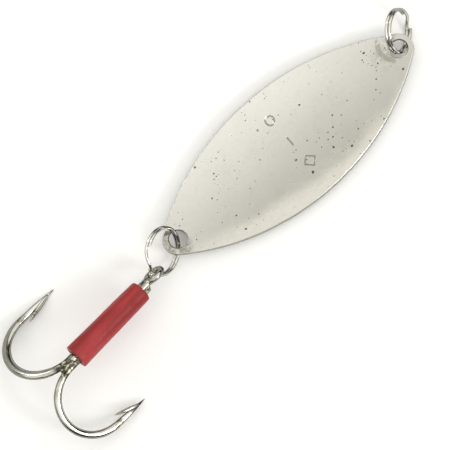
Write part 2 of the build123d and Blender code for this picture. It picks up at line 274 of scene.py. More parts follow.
def make_blade():
    pts, nrm = outline()
    count = len(pts)
    # the rim is not quite even: small nicks and flats along it
    s = np.linspace(0, 2 * pi, count, endpoint=False)
    wobble = 0.012 * np.sin(9 * s + 1.0) + 0.010 * np.sin(23 * s) + 0.006 * RNG.standard_normal(count)
    for at, deep, wide in NICKS:
        wobble -= deep * np.exp(-(((s / (2 * pi) - at) / wide) ** 2))
    # grid of plan points, kept clear of the rims
    loops = [pts - nrm * RIM_MARGIN]
    for hx, hr in HOLES:
        a = np.linspace(0, 2 * pi, 56, endpoint=False)
        wide = hr + HOLE_MARGIN
        loops.append(np.stack([hx + wide * np.cos(a), wide * np.sin(a)], 1))
    plan = np.concatenate(loops)
    edges, base = [], 0
    for loop in loops:
        m = len(loop)
        edges += [(base + k, base + (k + 1) % m) for k in range(m)]
        base += m
    gap = 0.62
    grid = []
    for j in range(-24, 25):
        for i in range(-60, 61):
            x, y = (i + 0.5 * (j % 2)) * gap, j * gap * 0.866
            if abs(x) > 35 or edge_distance(x, y) < 0.55:
                continue
            if any(hypot2(x - hx, y) < (hr + 0.5) ** 2 for hx, hr in HOLES):
                continue
            grid.append((x, y))
    plan = np.concatenate([plan, np.array(grid)])
    out = delaunay_2d_cdt([Vector(p) for p in plan.tolist()], edges, [], 0, 1e-6)
    flat = np.array([(v.x, v.y) for v in out[0]])
    tris = []
    for f in out[2]:
        c = flat[list(f)].mean(0)
        if edge_distance(c[0], c[1]) < 0.16:
            continue
        if any(hypot2(c[0] - hx, c[1]) < (hr + 0.12) ** 2 for hx, hr in HOLES):
            continue
        area = np.cross(flat[f[1]] - flat[f[0]], flat[f[2]] - flat[f[0]])
        tris.append(tuple(f) if area > 0 else tuple(f)[::-1])
    verts, normals, faces = [], [], []

    def place(x, y, h):
        x, y = np.asarray(x, float), np.asarray(y, float)
        n = belly_normal(x, y)
        return np.stack([x, y, belly(x, y)], -1) + n * np.asarray(h, float)[..., None], n

    # top and bottom skins
    v, n = place(flat[:, 0], flat[:, 1], np.full(len(flat), THICK))
    verts.append(v)
    normals.append(n)
    base_low = len(flat)
    v, n = place(flat[:, 0], flat[:, 1], np.zeros(len(flat)))
    verts.append(v)
    normals.append(-n)
    faces += tris
    faces += [(a + base_low, c + base_low, b + base_low) for a, b, c in tris]
    base = 2 * len(flat)
    # the skin point that sits at each loop point
    skin_of = {i: k for k, sources in enumerate(out[3]) for i in sources}

    def wall(ids, loop, out_dir, inset, wob, rounds):
        """The cut edge from the top skin to the bottom one, rounded over at both."""
        nonlocal base
        m = len(loop)
        top_r, low_r = rounds
        rows = []
        for k in range(5):
            th = k / 4 * pi / 2
            rows.append((top_r * sin(th) - top_r, THICK - top_r * (1 - cos(th)), th))
        for k in range(5):
            th = (4 - k) / 4 * pi / 2
            rows.append((low_r * sin(th) - low_r, low_r * (1 - cos(th)), pi - th))
        ring_ids = []
        for off, h, th in rows:
            p = loop + out_dir * (inset + off + (wob[:, None] if wob is not None else 0))
            v, n = place(p[:, 0], p[:, 1], np.full(m, h))
            outward = np.concatenate([out_dir, np.zeros((m, 1))], 1)
            outward -= (outward * n).sum(1)[:, None] * n
            outward /= np.linalg.norm(outward, axis=1)[:, None]
            verts.append(v)
            normals.append(n * cos(th) + outward * sin(th))
            ring_ids.append(base)
            base += m
        first = [skin_of[i] for i in ids]
        last = [k + base_low for k in first]
        chain = [first] + [[r + k for k in range(m)] for r in ring_ids] + [last]
        for a, b in zip(chain[:-1], chain[1:]):
            for k in range(m):
                k2 = (k + 1) % m
                faces.append((a[k], b[k], b[k2], a[k2]))

    wall(range(count), loops[0], nrm, RIM_MARGIN, wobble, (TOP_ROUND, LOW_ROUND))
    start = count
    for loop, (hx, hr) in zip(loops[1:], HOLES):
        centre = np.array((hx, 0.0))
        inward = (centre - loop) / np.linalg.norm(centre - loop, axis=1)[:, None]
        ids = list(range(start, start + len(loop)))
        wall(ids[::-1], loop[::-1], inward[::-1], HOLE_MARGIN, None, (0.14, 0.12))
        start += len(loop)
    verts = np.concatenate(verts)
    normals = np.concatenate(normals)
    uvs = [(verts[i][0], verts[i][1]) for f in faces for i in f]
    return add_mesh("blade_skin", verts, faces, uvs, normals)


def hypot2(a, b):
    """Squared length of (a, b)."""
    return a * a + b * b


# ---------------------------------------------------------------- rings


def ring_path(radius, pitch, step_angle, centre, zero, axis, phase):
    """Centreline of a split ring: a flat turn, a step across, and a second flat turn."""
    zero, axis = unit(zero), unit(axis)
    across = np.cross(axis, zero)
    free = step_angle + 5.0
    angles = np.concatenate([np.linspace(free, 360, 150), np.linspace(361, 360 + step_angle, 30),
                             np.linspace(361 + step_angle, 715, 150)])
    share = np.clip((angles - 360) / step_angle, 0, 1)
    height = pitch * (share * share * (3 - 2 * share) - 0.5)
    a = np.radians(angles + phase)
    pts = (np.asarray(centre) + radius * (np.cos(a)[:, None] * zero + np.sin(a)[:, None] * across)
           + height[:, None] * axis)
    return pts, axis


def make_ring(name, shape, wire, spread, slim):
    """spread springs the free ends outward, and slim is the factor on the wire."""
    pts, axis = ring_path(**shape)
    side = np.tile(axis, (len(pts), 1))
    s, pts, side = resample(pts, 0.12, side)
    # the last few degrees of each turn spring outward a touch
    free = np.minimum(s, s[-1] - s)
    out = pts - np.asarray(shape["centre"])
    out -= (out @ unit(axis))[:, None] * unit(axis)
    out /= np.linalg.norm(out, axis=1)[:, None]
    pts = pts + out * (spread * np.exp(-free / 1.5))[:, None]
    half = np.full(len(pts), wire / 2 * slim)
    v, f, u = sweep(pts, side, half, half, power=2.0, segs=20, round_start=0.2, round_end=0.2)
    return add_mesh(name, v, f, u)


# ---------------------------------------------------------------- hook


def at_shank(a, r, direction):
    """The place a along the shank and r from its middle."""
    return SHANK_ORIGIN + H * a + direction * r


def arm(bend_start, bend_radius, point_length, slant, leg_start, roll, forged_u, forged_b):
    """Centreline from the point to the start of the leg, with half widths in and out of the arm's plane.

    slant turns the point away from the shank, roll turns the arm round the shank, and forged_u and
    forged_b are the half widths where the bend is pressed flat. Angles are in degrees.
    """
    d = roll_dir(roll)
    turn = 180 - slant
    middle = WIRE_OFFSET + bend_radius
    ang = np.radians(-90 + np.linspace(0, turn, 90))
    bend = np.stack([bend_start + bend_radius * np.cos(ang), middle + bend_radius * np.sin(ang)], 1)
    heading = np.array((-cos(radians(slant)), sin(radians(slant))))
    run = np.linspace(0.15, point_length, 40)
    point = bend[-1] + heading * run[:, None]
    leg = np.stack([np.linspace(leg_start, bend_start - 0.2, 60), np.full(60, WIRE_OFFSET)], 1)
    flat = np.concatenate([leg, bend, point])[::-1]
    pts = np.array([at_shank(a, r, d) for a, r in flat])
    side = np.tile(-np.cross(H, d), (len(pts), 1))
    s, pts, side = resample(pts, 0.12, side)
    bend_len = bend_radius * radians(turn)
    into = smooth(point_length - 2.5, point_length + 3.0, s)
    out = 1 - smooth(point_length + bend_len - 6.5, point_length + bend_len + 0.5, s)
    forged = into * out
    taper = np.clip(s / 7.0, 0, 1)
    cone = 0.05 + 0.95 * (1 - (1 - taper) ** 1.7)
    half_u = (WIRE / 2 * (1 - forged) + forged_u * forged) * cone
    half_b = (WIRE / 2 * (1 - forged) + forged_b * forged) * cone
    return pts, side, half_u, half_b, forged, heading, bend[-1] + heading * point_length, d


def barb(tip, heading, d, back, rise):
    """A sliver cut out of the wire's inner side and lifted."""
    inward = np.array((-heading[1], heading[0]))
    if inward[1] > 0:
        inward = -inward

    def at(b, up):
        q = tip - heading * b + inward * up
        return at_shank(q[0], q[1], d)

    t = np.linspace(0, 1, 26)
    along = 1.6 + (back - 1.6) * t
    lift = 0.06 + (rise - 0.06) * t**1.12
    pts = np.array([at(b, up) for b, up in zip(along, lift)])
    side = np.tile(-np.cross(H, d), (len(pts), 1))
    thick = 0.15 + 0.25 * np.sin(pi * np.clip(t, 0, 1) ** 0.8) * (1 - 0.35 * t)
    thick[-4:] *= np.array((0.8, 0.6, 0.35, 0.12))
    wide = 0.19 + 0.40 * np.sin(pi * t**0.7 * 0.93)
    wide[-3:] *= np.array((0.8, 0.5, 0.2))
    v, f, u = sweep(pts, side, thick, wide, power=2.4, segs=16)
    return v, f, [(along_wire + 4.0, share) for along_wire, share in u]


def eye_points():
    """Centreline of the eye and its neck, and how far down the shank the legs start."""
    centre = EYE_TOP + WIRE / 2 + EYE_RADIUS
    half = WIRE_PITCH / 2
    run = sqrt((EYE_RADIUS + EYE_SHOULDER) ** 2 - (half + EYE_SHOULDER) ** 2)
    lean = atan2(half + EYE_SHOULDER, run)
    neck = []
    for k in range(21):
        a = -pi / 2 - (pi / 2 - lean) * k / 20
        neck.append((centre + run + EYE_SHOULDER * cos(a), half + EYE_SHOULDER + EYE_SHOULDER * sin(a)))
    loop = []
    for k in range(1, 80):
        a = lean + (2 * pi - 2 * lean) * k / 80
        loop.append((centre + EYE_RADIUS * cos(a), EYE_RADIUS * sin(a)))
    upper = np.array(neck)
    lower = upper[::-1] * (1, -1)
    path = np.concatenate([upper, np.array(loop), lower])[::-1]  # lower leg, over the top, upper leg
    d, shift = roll_dir(60), roll_dir(150) * WIRE_OFFSET / 2
    pts = np.array([SHANK_ORIGIN + H * a + d * y + shift for a, y in path])
    return pts, np.tile(-np.cross(H, d), (len(pts), 1)), centre + run


def make_main_wire():
    eye, eye_side, leg_top = eye_points()
    pts, side, hu, hb, forged, heading, tip, d = arm(
        bend_start=1.3, bend_radius=8.6, point_length=10.0, slant=-1.5,
        leg_start=leg_top, roll=210, forged_u=0.98, forged_b=0.66)
    power = 2 + FORGED_POWER * forged
    # the leg of the clipped arm, which ends just past the start of its bend
    stub_dir = roll_dir(90)
    run = np.linspace(leg_top + 0.1, STUB_STRAIGHT, 60)
    stub = [at_shank(a, WIRE_OFFSET, stub_dir) for a in run]
    for k in range(1, 14):
        a = radians(STUB_TURN * k / 13)
        along = STUB_STRAIGHT + STUB_BEND * sin(a)
        stub.append(at_shank(along, WIRE_OFFSET + STUB_BEND * (1 - cos(a)), stub_dir))
    stub = np.array(stub)
    stub_side = np.tile(-np.cross(H, stub_dir), (len(stub), 1))
    rest = np.concatenate([eye, stub])
    rest_side = np.concatenate([eye_side, stub_side])
    s, rest, rest_side = resample(rest, 0.11, rest_side)
    m = len(rest)
    # the eye's wire is pressed a little flat at the crown, and worn thinner than the shank
    crown = np.exp(-((s - 6.6) / 2.6) ** 2)
    path = np.concatenate([pts, rest[1:]])
    side = np.concatenate([side, rest_side[1:]])
    worn = WIRE / 2 * (1 - 0.025 * (1 - smooth(12, 15, s)))
    hu = np.concatenate([hu, worn[1:]])
    hb = np.concatenate([hb, (worn * (1 - 0.05 * crown))[1:]])
    power = np.concatenate([power, np.full(m - 1, 2.0)])
    # ease the section's twist where the arm, the eye and the stub meet
    for _ in range(30):
        side[1:-1] = (side[:-2] + side[1:-1] * 2 + side[2:]) / 4
    body = sweep(path, side, hu, hb, power, segs=26, round_start=0.1, round_end=0.1)
    spike = barb(tip, heading, d, back=8.8, rise=1.95)
    v, f, u = join([body, spike])
    return add_mesh("hook_main_wire_skin", v, f, u)


def make_side_wire():
    pts, side, hu, hb, forged, heading, tip, d = arm(
        bend_start=2.6, bend_radius=8.25, point_length=8.0, slant=3.2,
        leg_start=-21.6, roll=330, forged_u=0.84, forged_b=0.68)
    hu[-6:] *= np.linspace(1, 0.86, 6)
    hb[-6:] *= np.linspace(1, 0.86, 6)
    body = sweep(pts, side, hu, hb, 2 + FORGED_POWER * forged, segs=26, round_start=0.1, round_end=0.3)
    spike = barb(tip, heading, d, back=7.4, rise=2.0)
    v, f, u = join([body, spike])
    return add_mesh("hook_side_wire_skin", v, f, u)


def make_braze():
    """Filler between the shank wires, lumpy where it shows."""
    along = np.linspace(BRAZE_START, BRAZE_END, 150)
    ang = np.linspace(0, 2 * pi, 60, endpoint=False)
    # lumps: place along the shank, place round it, width, height
    lumps = [(RNG.uniform(-22, 3), RNG.uniform(0, 2 * pi), RNG.uniform(0.3, 0.9), RNG.uniform(-0.05, 0.07))
             for _ in range(60)]
    verts = []
    for a in along:
        cap = smooth(BRAZE_START, -21.2, a) * (1 - smooth(1.2, BRAZE_END, a))
        r = (1.24 - 0.10 * np.cos(3 * (ang - radians(90)))) * (0.25 + 0.75 * cap)
        for la, lt, lw, lh in lumps:
            dt = np.angle(np.exp(1j * (ang - lt)))
            r = r + lh * np.exp(-((a - la) / lw) ** 2 - (dt / (lw * 0.8)) ** 2)
        for t, rr in zip(ang, r):
            verts.append(at_shank(a, rr, E1 * cos(t) + E2 * sin(t)))
    m = len(ang)
    faces, uvs = quads(along, m)
    for row, flip in ((0, False), (len(along) - 1, True)):
        ring = [row * m + k for k in range(m)]
        faces.append(tuple(ring if flip else ring[::-1]))
        uvs += [(along[row], 0)] * m
    return add_mesh("hook_braze_skin", verts, faces, uvs)


def make_sleeve():
    """Soft tube on the shank, rounded over at the eye end and cut nearly straight at the bend end."""
    bore = SLEEVE_BORE
    # profile as (along the shank, radius), from the eye end over the outside and back through the bore
    prof = []
    for k in range(9):
        t = k / 8 * pi / 2
        prof.append((SLEEVE_START + 0.40 * (1 - cos(t)), 2.06 + 0.40 * sin(t)))
    for k in range(1, 60):
        a = -19.5 + 19.33 * k / 60
        prof.append((a, 2.46 + 0.28 * (a - SLEEVE_START) / -SLEEVE_START))
    for k in range(6):
        t = k / 5 * pi / 2
        prof.append((-0.17 + 0.17 * sin(t), 2.735 - 0.17 * (1 - cos(t))))
    prof += [(0.0, 2.3), (0.0, 1.95), (-0.05, bore + 0.05), (-0.3, bore), (-6, bore), (-13, bore),
             (-19.5, bore), (-19.85, bore + 0.06), (SLEEVE_START, bore + 0.2)]
    prof = np.array(prof)
    m = 96
    ang = np.linspace(0, 2 * pi, m, endpoint=False)
    verts = []
    for a, r in prof:
        w = smooth(1.7, 2.3, r)
        soft = w * (0.030 * np.cos(2 * ang + 0.7 + 0.05 * a) + 0.016 * np.sin(3 * ang + a * 0.21)
                    + 0.012 * np.sin(ang * 5 + a * 0.5) + 0.02 * np.sin(a * 0.45 + 1.3))
        # neither end is cut quite square
        slip = 0 * ang
        if a > -1:
            slip = w * 0.05 * np.cos(ang - 0.8)
        elif a < -19:
            slip = w * 0.06 * np.cos(ang + 1.9)
        for t, q, z in zip(ang, r + soft, slip):
            verts.append(at_shank(a + z, q, E1 * cos(t) + E2 * sin(t)))
    faces, uvs = quads(prof[:, 0], m, closed=True)
    return add_mesh("shank_sleeve_skin", verts, faces, uvs)


# ---------------------------------------------------------------- materials


class Mat:
    """A short way to write node trees."""

    def __init__(self, name, **sockets):
        self.mat = bpy.data.materials.new(name)
        self.mat.use_nodes = True
        self.tree = self.mat.node_tree
        self.tree.nodes.clear()
        self.out = self.tree.nodes.new("ShaderNodeOutputMaterial")
        self.bsdf = self.tree.nodes.new("ShaderNodeBsdfPrincipled")
        self.tree.links.new(self.bsdf.outputs[0], self.out.inputs[0])
        for key, value in sockets.items():
            self.bsdf.inputs[key.replace("_", " ")].default_value = value

    def new(self, kind, sockets=None, **props):
        node = self.tree.nodes.new("ShaderNode" + kind)
        for key, value in props.items():
            setattr(node, key, value)
        for key, value in (sockets or {}).items():
            self.put(node.inputs[key], value)
        return node

    def put(self, socket, value):
        if isinstance(value, bpy.types.NodeSocket):
            self.tree.links.new(value, socket)
        else:
            socket.default_value = value

    def math(self, op, a, b=0.0, c=0.0, clamp=False):
        node = self.new("Math", {0: a, 1: b, 2: c}, operation=op, use_clamp=clamp)
        return node.outputs[0]

    def times(self, a, b):
        return self.math("MULTIPLY", a, b)

    def vec(self, op, a, b=(0, 0, 0), scale=1.0):
        node = self.new("VectorMath", {0: a, 1: b, 3: scale}, operation=op)
        return node.outputs[1] if op in ("DOT_PRODUCT", "LENGTH", "DISTANCE") else node.outputs[0]

    def step(self, value, low, high, to_low=0.0, to_high=1.0):
        """Smooth step from low to high."""
        sockets = {0: value, 1: low, 2: high, 3: to_low, 4: to_high}
        return self.new("MapRange", sockets, interpolation_type="SMOOTHSTEP").outputs[0]

    def bell(self, value, near, far):
        """One up to near, falling smoothly to nothing at far."""
        return self.step(value, near, far, to_low=1.0, to_high=0.0)

    def noise(self, vector, scale, detail=3.0, rough=0.55, distort=0.0):
        sockets = {"Vector": vector, "Scale": scale, "Detail": detail, "Roughness": rough,
                   "Distortion": distort}
        return self.new("TexNoise", sockets).outputs[0]

    def wander(self, vector, scale, amount):
        """A small shift in any direction that changes from place to place."""
        drift = self.new("TexNoise", {"Vector": vector, "Scale": scale}).outputs[1]
        return self.vec("SCALE", self.vec("SUBTRACT", drift, (0.5, 0.5, 0.5)), scale=amount)

    def cells(self, vector, scale):
        """Distance to the nearest of a scatter of points, and a random colour for each point."""
        node = self.new("TexVoronoi", {"Vector": vector, "Scale": scale})
        return node.outputs[0], node.outputs[1]

    def specks(self, vector, scale, near, far, sparse):
        """Small spots. The share sparse of them is left out."""
        distance, pick = self.cells(vector, scale)
        kept = self.math("GREATER_THAN", self.parts(pick)[0], sparse)
        return self.times(self.bell(distance, near, far), kept)

    def mix(self, factor, a, b):
        node = self.new("Mix", {0: factor, 6: a, 7: b}, data_type="RGBA")
        return node.outputs[2]

    def coat(self, mask, strength, under, colour):
        """colour over under, where mask says, at a strength."""
        return self.mix(self.times(mask, strength), under, colour)

    def stretch(self, vector, scale, turn=(0, 0, 0)):
        node = self.new("Mapping", {0: vector, 2: turn, 3: scale})
        return node.outputs[0]

    def parts(self, vector):
        node = self.new("SeparateXYZ", {0: vector})
        return node.outputs[0], node.outputs[1], node.outputs[2]

    def bump(self, height_mm):
        node = self.new("Bump", {"Height": height_mm, "Distance": MM, "Strength": 1.0})
        self.tree.links.new(node.outputs[0], self.bsdf.inputs["Normal"])

    def set(self, **sockets):
        for key, value in sockets.items():
            self.put(self.bsdf.inputs[key.replace("_", " ")], value)

    def place(self):
        """Position in millimetres in the lure's frame, before any joint moves."""
        coord = self.new("TexCoord").outputs["Object"]
        return self.vec("SCALE", coord, scale=1 / MM)


def rgb(r, g, b):
    return (r, g, b, 1.0)


def add(m, *terms):
    """Sum of several sockets or numbers."""
    total = terms[0]
    for t in terms[1:]:
        total = m.math("ADD", total, t)
    return total


# where the plate is pitted most: a place on the dished face, and how far the patch reaches
PIT_CROWDS = (
    ((-0.4, -3.6, 1.3), 2.6), ((-12.2, -0.6, 1.4), 3.4), ((22.8, 2.6, 2.5), 3.2), ((7.5, -7.2, 1.8), 3.4),
    ((-7.0, 9.4, 2.1), 1.6), ((29.0, -1.5, 3.3), 3.0), ((14.5, -11.0, 2.8), 2.2), ((-15.0, 2.6, 1.7), 2.2),
)
# single deep pits: place in plan and half width
DEEP_PITS = (
    ((0.0, -7.9), 0.42), ((7.0, -6.7), 0.38), ((10.0, -9.2), 0.34), ((-18.5, 9.6), 0.36),
    ((29.3, -4.0), 0.40), ((-19.1, -7.8), 0.28), ((25.4, 4.4), 0.36), ((-0.9, -3.4), 0.40),
)


def blade_material():
    m = Mat("worn_nickel_blade", Metallic=1.0)
    p = m.vec("SUBTRACT", m.place(), tuple(SHIFT))
    x, y, _ = m.parts(p)
    # tone: broad clouds, faint stains, finer mottle
    clouds = m.noise(p, 0.09, 3, 0.5, 0.4)
    mottle = m.noise(p, 0.9, 4, 0.6)
    stains = m.step(m.noise(p, 0.22, 5, 0.62, 0.8), 0.54, 0.72)
    base = m.mix(clouds, rgb(0.64, 0.627, 0.578), rgb(0.70, 0.688, 0.64))
    base = m.coat(stains, 0.35, base, rgb(0.60, 0.575, 0.50))
    base = m.mix(m.step(mottle, 0.35, 0.75, 0.0, 0.16), base, rgb(0.56, 0.55, 0.51))

    # the marks and the single pits are on the dished face only
    facing_up = m.parts(m.new("TexCoord").outputs["Normal"])[2]
    upper_face = m.math("GREATER_THAN", facing_up, 0.0)

    # pits in three sizes, thicker along one half and round the line hole
    def pits(scale, low, high, sparse, seed):
        moved = m.vec("ADD", p, (seed, seed * 0.7, 0.0))
        drift = m.new("TexNoise", {"Vector": p, "Scale": 2.2, "Detail": 2.0}).outputs[1]
        warped = m.vec("ADD", moved, m.vec("SCALE", drift, scale=0.35))
        distance, colour = m.cells(warped, scale)
        pick = m.parts(colour)
        size = m.math("MULTIPLY_ADD", m.math("POWER", pick[0], 3.0), high - low, low)
        here = m.math("GREATER_THAN", pick[1], sparse)
        d = m.math("DIVIDE", distance, scale)
        return m.times(here, m.math("SUBTRACT", 1.0, m.math("DIVIDE", d, size), clamp=True))

    crowd = m.step(m.noise(p, 0.13, 2, 0.5), 0.46, 0.64)
    near_line = m.bell(m.vec("DISTANCE", p, (28.6, 0.8, 3.2)), 1.0, 4.6)
    for spot, reach in PIT_CROWDS:
        here = m.bell(m.vec("DISTANCE", p, spot), reach * 0.3, reach)
        crowd = m.math("MAXIMUM", crowd, here)
    big = pits(0.22, 0.26, 0.70, 0.45, 3.0)
    mid = m.times(pits(0.60, 0.19, 0.55, 0.62, 11.0), m.math("ADD", crowd, near_line, clamp=True))
    tiny_crowd = m.math("ADD", m.math("MULTIPLY_ADD", crowd, 0.7, 0.3), near_line, clamp=True)
    tiny = m.times(pits(1.3, 0.12, 0.30, 0.66, 23.0), tiny_crowd)
    pit = m.math("MAXIMUM", m.math("MAXIMUM", big, mid), tiny)
    ragged = m.vec("MULTIPLY", m.vec("ADD", p, m.wander(p, 2.6, 0.7)), (1, 1, 0))
    for spot, half in DEEP_PITS:
        deep = m.bell(m.vec("DISTANCE", ragged, (*spot, 0.0)), 0.0, half)
        pit = m.math("MAXIMUM", pit, m.times(deep, upper_face))
    pit_mask = m.step(pit, 0.04, 0.40)

    # smudged scuff beside the line hole
    scuff_line = m.times(near_line, m.step(m.noise(p, 0.55, 5, 0.62, 0.6), 0.44, 0.58))

    # the split ring has rubbed an arc beside the line hole, and the hook end is painted dark and mottled, a
    # painted shade and painted reflection of the hook ring
    from_line = m.vec("DISTANCE", p, (31.5, 1.5, 3.6))
    rub = m.bell(m.math("ABSOLUTE", m.math("SUBTRACT", from_line, 3.5)), 0.35, 0.80)
    rub = m.times(rub, m.bell(x, 28.9, 29.8))
    rub = m.times(rub, m.step(m.noise(p, 0.9, 4, 0.6), 0.30, 0.48))
    painted_tip_shade = m.bell(m.vec("DISTANCE", p, (-33.2, -1.2, 3.6)), 2.6, 4.4)
    painted_tip_shade = m.times(painted_tip_shade, m.step(m.noise(p, 1.0, 5, 0.65, 0.5), 0.36, 0.58))
    plan = m.new("CombineXYZ", {0: x, 1: y}).outputs[0]
    # the walls of both holes, painted near black further down as a painted shade
    in_hole = [m.bell(m.vec("DISTANCE", plan, (hx, 0.0, 0.0)), hr + 0.01, hr + 0.09) for hx, hr in HOLES]
    hole_wall_shade = m.math("MAXIMUM", *in_hole)

    # hairlines in three directions
    def hairs(turn, along, across, cut, seed):
        q = m.stretch(m.vec("ADD", p, (seed, 0, seed)), (along, across, 1.0), (0, 0, turn))
        return m.step(m.noise(q, 1.0, 2, 0.5), cut, cut + 0.035)

    crossed = m.math("MAXIMUM", hairs(-0.9, 0.16, 9.0, 0.68, 7), hairs(1.35, 0.2, 8.0, 0.68, 15))
    hair = m.math("MAXIMUM", hairs(0.35, 0.10, 7.0, 0.66, 0), crossed)
    hair = m.times(hair, m.step(m.noise(p, 0.35, 2), 0.45, 0.6))

    # stamped marks: a ring, a bar and a diamond, cut as shallow grooves
    qx, qy, _ = m.parts(m.vec("ADD", p, m.wander(p, 1.6, 0.22)))

    def offset(k):
        return m.math("SUBTRACT", qx, MARKS[k][0]), m.math("SUBTRACT", qy, MARKS[k][1])

    dx, dy = offset(0)
    rad = m.math("SQRT", m.math("ADD", m.times(dx, dx), m.times(dy, dy)))
    d0 = m.math("ABSOLUTE", m.math("SUBTRACT", rad, MARK_SIZE / 2))
    dx, dy = offset(1)
    over = m.math("MAXIMUM", m.math("SUBTRACT", m.math("ABSOLUTE", dy), MARK_SIZE / 2), 0.0)
    d1 = m.math("SQRT", m.math("ADD", m.times(dx, dx), m.times(over, over)))
    dx, dy = offset(2)
    l1 = m.math("ADD", m.math("ABSOLUTE", dx), m.math("ABSOLUTE", dy))
    d2 = m.times(m.math("ABSOLUTE", m.math("SUBTRACT", l1, MARK_SIZE / sqrt(2))), 0.7071)
    near = m.math("MINIMUM", m.math("MINIMUM", d0, d1), d2)
    groove = m.times(m.bell(near, 0.06, 0.24), upper_face)

    col = m.coat(pit_mask, 0.92, base, rgb(0.07, 0.065, 0.05))
    col = m.coat(scuff_line, 0.55, col, rgb(0.34, 0.33, 0.28))
    col = m.coat(rub, 0.65, col, rgb(0.31, 0.305, 0.26))
    # painted shade and reflection of the hook ring on the hook end
    col = m.coat(painted_tip_shade, 0.72, col, rgb(0.24, 0.24, 0.19))
    col = m.coat(hair, 0.30, col, rgb(0.50, 0.49, 0.45))
    col = m.coat(groove, 0.6, col, rgb(0.20, 0.195, 0.165))
    rough = m.step(clouds, 0.3, 0.7, 0.10, 0.135)
    rough = m.math("ADD", rough, m.step(mottle, 0.4, 0.7, 0.0, 0.06))
    rough = add(m, rough, m.times(pit_mask, 0.35), m.times(hair, 0.12), m.times(scuff_line, 0.25))
    # the cut edge is duller than the faces and painted darker, a painted shade for the dark line along it
    side_on = m.math("ABSOLUTE", facing_up)
    edge = m.bell(side_on, 0.55, 0.93)
    col = m.coat(edge, 0.72, col, rgb(0.22, 0.215, 0.18))
    # painted shade: the hole walls are painted near black
    col = m.coat(hole_wall_shade, 0.9, col, rgb(0.035, 0.035, 0.028))
    # a light band painted along the rounding of the rim, a painted highlight
    painted_rim_highlight = m.times(m.step(side_on, 0.58, 0.76), m.bell(side_on, 0.90, 0.945))
    painted_rim_highlight = m.times(painted_rim_highlight, m.math("SUBTRACT", 1.0, hole_wall_shade))
    col = m.coat(painted_rim_highlight, 0.85, col, rgb(0.95, 0.94, 0.89))
    dull = m.math("MAXIMUM", edge, hole_wall_shade)
    rough = add(m, rough, m.times(dull, 0.14), m.times(painted_rim_highlight, 0.16))
    m.set(Base_Color=col, Roughness=m.math("MINIMUM", rough, 0.9))
    # relief in millimetres
    wave = add(m, m.times(m.noise(p, 0.075, 2, 0.4), 0.14), m.times(m.noise(p, 0.26, 2, 0.4), 0.014))
    peel = m.times(m.noise(p, 1.1, 3, 0.5), 0.0030)
    grain = m.times(m.noise(p, 7.0, 2, 0.5), 0.0010)
    height = add(m, wave, peel, grain, m.times(pit_mask, -0.035), m.times(hair, -0.0022),
                 m.times(groove, -0.08), m.times(scuff_line, -0.012))
    m.bump(height)
    return m.mat


def wire_material(name, light, dark, shine, seed, tarnish, rim, local_changes):
    """Plated wire with draw lines, dull patches and dark specks.

    tarnish is the strength of the patches, and rim the strength of a painted shade that darkens the wire
    toward its outline as seen from the camera. residue changes colour, roughness and height in chosen
    places, or is None.
    """
    m = Mat(name, Metallic=1.0)
    p = m.vec("ADD", m.place(), (seed, seed * 1.3, 0.0))
    uv = m.new("TexCoord").outputs["UV"]
    lines = m.noise(m.stretch(uv, (0.35, 26.0, 1.0)), 1.0, 3, 0.6)
    patch = m.step(m.noise(p, 0.40, 3, 0.5, 0.3), 0.42, 0.68)
    fine = m.noise(p, 4.5, 4, 0.6)
    speck = m.specks(p, 1.6, 0.10, 0.24, 0.72)
    col = m.mix(m.times(patch, tarnish), light, dark)
    col = m.mix(m.step(lines, 0.45, 0.75, 0.0, 0.35), col, dark)
    col = m.mix(m.step(fine, 0.55, 0.8, 0.0, 0.22), col, dark)
    col = m.coat(speck, 0.7, col, rgb(0.07, 0.065, 0.05))
    rough = add(m, m.step(patch, 0.0, 1.0, shine, shine + 0.08), m.step(fine, 0.4, 0.8, 0.0, 0.06),
                m.times(speck, 0.3))
    height = add(m, m.times(lines, 0.004), m.times(fine, 0.0022), m.times(speck, -0.02))
    if local_changes is not None:
        col, rough, height = local_changes(m, col, rough, height, p)
    # painted shade: the wire is darkened toward its outline as seen from the camera
    graze = m.new("LayerWeight", {"Blend": 0.5}).outputs["Facing"]
    col = m.mix(m.step(graze, 0.20, 0.56, 0.0, rim), col, rgb(0.07, 0.07, 0.055))
    m.set(Base_Color=col, Roughness=m.math("MINIMUM", rough, 0.9))
    m.bump(height)
    return m.mat


